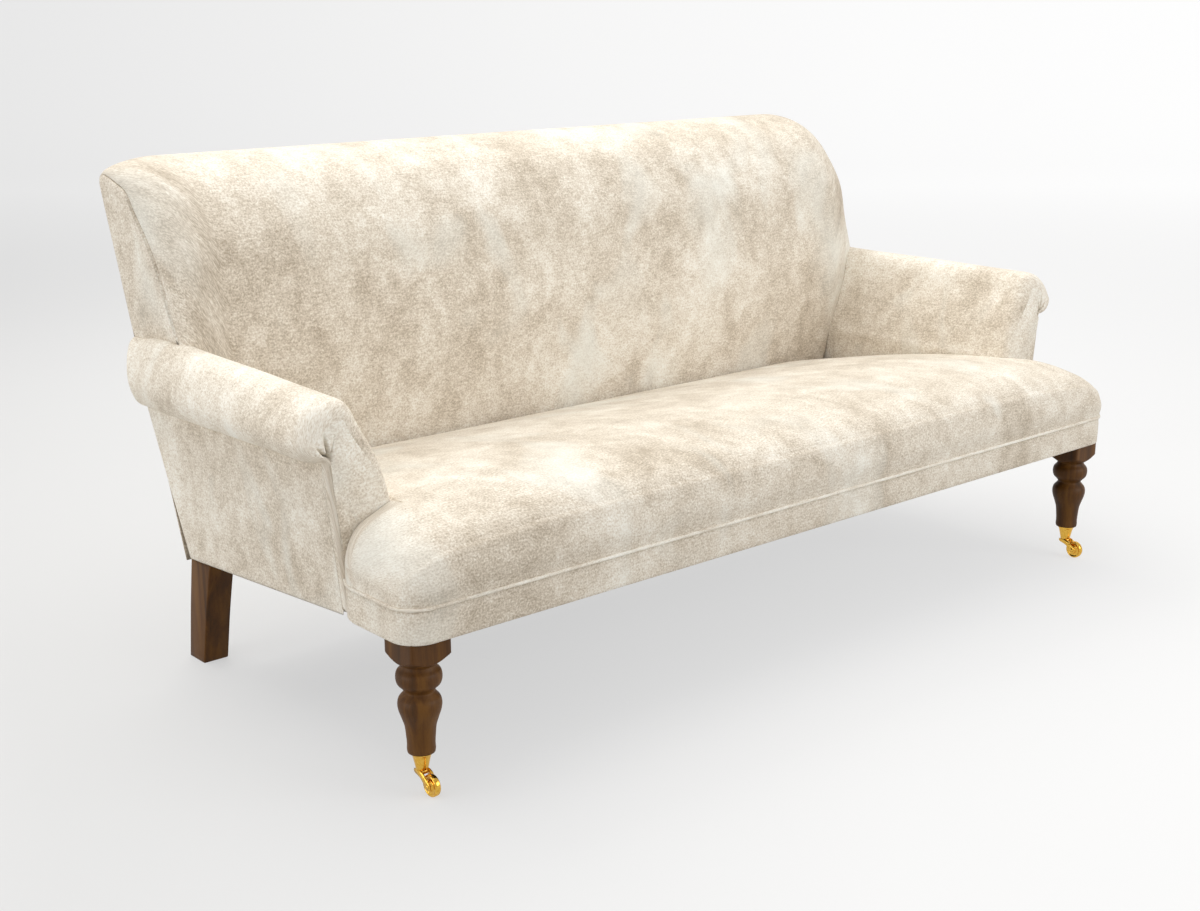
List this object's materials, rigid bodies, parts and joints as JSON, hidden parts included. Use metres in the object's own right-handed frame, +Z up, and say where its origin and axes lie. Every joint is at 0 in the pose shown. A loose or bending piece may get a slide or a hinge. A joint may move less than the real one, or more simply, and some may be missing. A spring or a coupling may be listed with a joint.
{
  "type": "english roll arm sofa",
  "caption": "Sprung upholstered sofa with low scrolled roll arms, a tight seat and back, turned wooden front legs on brass castors and swept rear legs.",
  "frame": {"origin": "middle of the footprint, on the floor", "axes": "+X along the sofa towards its right arm, seen by someone facing its front; +Y towards the rear; +Z up"},
  "size_m": [1.888, 0.975, 0.894],
  "materials": {
    "pile_cloth": "matte",
    "wadding": "matte",
    "beech_frame": "matte",
    "walnut_legs": "satin",
    "brass_castors": "polished",
    "spring_wire": "satin",
    "jute_webbing": "matte",
    "dust_cloth": "matte"
  },
  "bodies": {
    "root": {"seat_cover": "pile_cloth", "front_border": "pile_cloth", "seat_piping": "pile_cloth", "back_cover": "pile_cloth", "back_side_left": "pile_cloth", "back_side_right": "pile_cloth", "outside_back": "pile_cloth", "arm_cover_left": "pile_cloth", "arm_cover_right": "pile_cloth", "arm_outside_left": "pile_cloth", "arm_outside_right": "pile_cloth", "seat_pad": "wadding", "back_pad": "wadding", "arm_pad_left": "wadding", "arm_pad_right": "wadding", "front_seat_rail": "beech_frame", "rear_seat_rail": "beech_frame", "side_seat_rail_left": "beech_frame", "side_seat_rail_right": "beech_frame", "seat_centre_rail": "beech_frame", "corner_block_front_left": "beech_frame", "corner_block_front_right": "beech_frame", "corner_block_rear_left": "beech_frame", "corner_block_rear_right": "beech_frame", "back_post_left": "beech_frame", "back_post_right": "beech_frame", "back_top_rail": "beech_frame", "back_lower_rail": "beech_frame", "back_centre_post": "beech_frame", "arm_post_left": "beech_frame", "arm_post_right": "beech_frame", "arm_top_rail_left": "beech_frame", "arm_top_rail_right": "beech_frame", "front_leg_left": "walnut_legs", "front_leg_right": "walnut_legs", "rear_leg_left": "walnut_legs", "rear_leg_right": "walnut_legs", "castor_cup_left": "brass_castors", "castor_cup_right": "brass_castors", "seat_spring_1": "spring_wire", "seat_spring_2": "spring_wire", "seat_spring_3": "spring_wire", "seat_spring_4": "spring_wire", "seat_spring_5": "spring_wire", "seat_spring_6": "spring_wire", "seat_tie_wire": "spring_wire", "back_webbing_1": "jute_webbing", "back_webbing_2": "jute_webbing", "back_webbing_3": "jute_webbing", "back_webbing_4": "jute_webbing", "dust_cover": "dust_cloth"},
    "castor_fork_left": {"castor_fork_left": "brass_castors", "castor_axle_left": "brass_castors"},
    "castor_wheel_left": {"castor_wheel_left": "brass_castors"},
    "castor_fork_right": {"castor_fork_right": "brass_castors", "castor_axle_right": "brass_castors"},
    "castor_wheel_right": {"castor_wheel_right": "brass_castors"}
  },
  "joints": [
    {"name": "castor_swivel_left", "type": "hinge", "parent": "root", "child": "castor_fork_left", "pos_m": [-0.84, -0.4335, 0.0415], "axis": [0, 0, 1], "continuous": true},
    {"name": "wheel_spin_left", "type": "hinge", "parent": "castor_fork_left", "child": "castor_wheel_left", "pos_m": [-0.84, -0.4579, 0.0177], "axis": [1, 0, 0], "continuous": true},
    {"name": "castor_swivel_right", "type": "hinge", "parent": "root", "child": "castor_fork_right", "pos_m": [0.84, -0.4335, 0.0415], "axis": [0, 0, 1], "continuous": true},
    {"name": "wheel_spin_right", "type": "hinge", "parent": "castor_fork_right", "child": "castor_wheel_right", "pos_m": [0.84, -0.4579, 0.0177], "axis": [1, 0, 0], "continuous": true}
  ]
}
